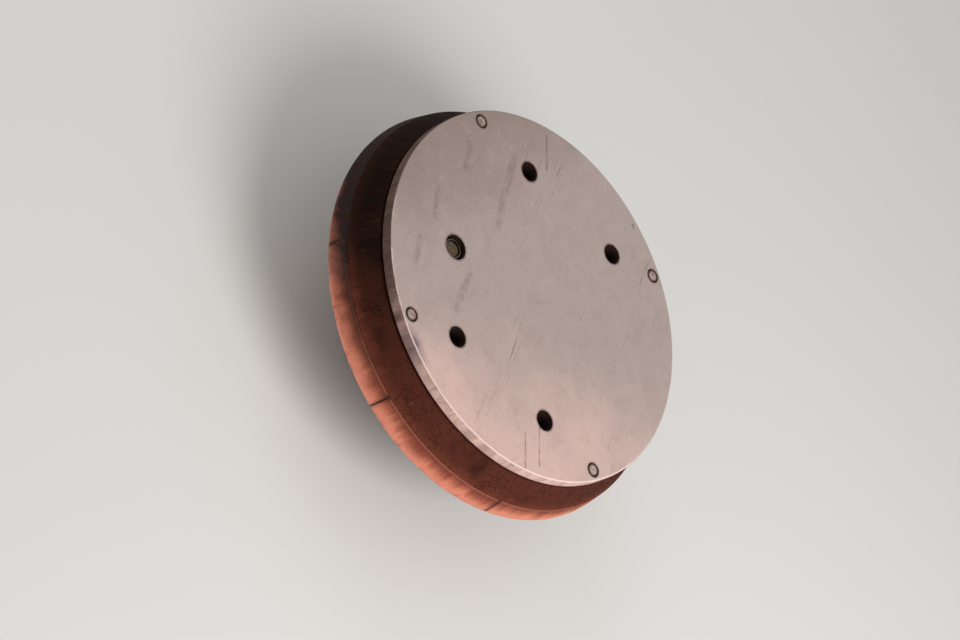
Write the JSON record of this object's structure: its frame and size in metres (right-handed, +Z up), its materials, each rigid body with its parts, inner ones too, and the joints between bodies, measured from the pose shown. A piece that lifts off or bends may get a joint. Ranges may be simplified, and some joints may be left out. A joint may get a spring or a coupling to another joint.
{
  "type": "space capsule",
  "caption": "Small uncrewed return capsule: blunt tiled heat shield, dark flared side wall and a pale lift-off aft cover with holes for the separation posts and an umbilical port.",
  "frame": {"origin": "middle of the nose plug's flat face, the lowest point of the capsule standing nose down", "axes": "+Z up the capsule's axis from the nose to the aft cover; +X along the longer side of the rectangle of separation posts"},
  "size_m": [0.9, 0.9, 0.364],
  "materials": {
    "shield_tile": "charred, matte",
    "gap_filler": "charred, matte",
    "carrier": "satin",
    "wall_ablator": "charred, matte",
    "frame_metal": "satin",
    "seal_rubber": "matte",
    "deck_metal": "satin",
    "can_metal": "satin",
    "pack_fabric": "woven",
    "box_metal": "black anodised",
    "payload": "satin",
    "connector_shell": "satin",
    "insert_plastic": "matte",
    "cover_insulation": "matte, scorched",
    "panel_metal": "satin",
    "bolt_steel": "satin",
    "post_metal": "satin",
    "plug_insulation": "matte, scorched"
  },
  "bodies": {
    "vehicle": {"nose_plug": "shield_tile", "nose_cap": "shield_tile", "flank_tile_1": "shield_tile", "flank_tile_2": "shield_tile", "flank_tile_3": "shield_tile", "flank_tile_4": "shield_tile", "flank_tile_5": "shield_tile", "flank_tile_6": "shield_tile", "flank_tile_7": "shield_tile", "flank_tile_8": "shield_tile", "shoulder_tile_1": "shield_tile", "shoulder_tile_2": "shield_tile", "shoulder_tile_3": "shield_tile", "shoulder_tile_4": "shield_tile", "shoulder_tile_5": "shield_tile", "shoulder_tile_6": "shield_tile", "shoulder_tile_7": "shield_tile", "shoulder_tile_8": "shield_tile", "gap_fillers": "gap_filler", "carrier_shell": "carrier", "side_wall": "wall_ablator", "wall_seal": "gap_filler", "backshell_frame": "frame_metal", "stringers": "frame_metal", "aft_ring": "frame_metal", "cover_seal": "seal_rubber", "deck": "deck_metal", "separation_post_1": "post_metal", "separation_post_2": "post_metal", "separation_post_3": "post_metal", "separation_post_4": "post_metal", "parachute_can": "can_metal", "parachute_pack": "pack_fabric", "electronics_box": "box_metal", "payload_block": "payload", "umbilical_connector": "connector_shell", "connector_insert": "insert_plastic", "connector_bracket": "frame_metal"},
    "cover": {"aft_cover": "cover_insulation", "cover_panel": "panel_metal", "panel_ribs": "panel_metal", "cover_bolts": "bolt_steel", "cover_plugs": "plug_insulation"}
  },
  "joints": [
    {"name": "cover_lift", "type": "slide", "parent": "vehicle", "child": "cover", "axis": [0, 0, 1], "range_m": [0, 0.25]}
  ]
}
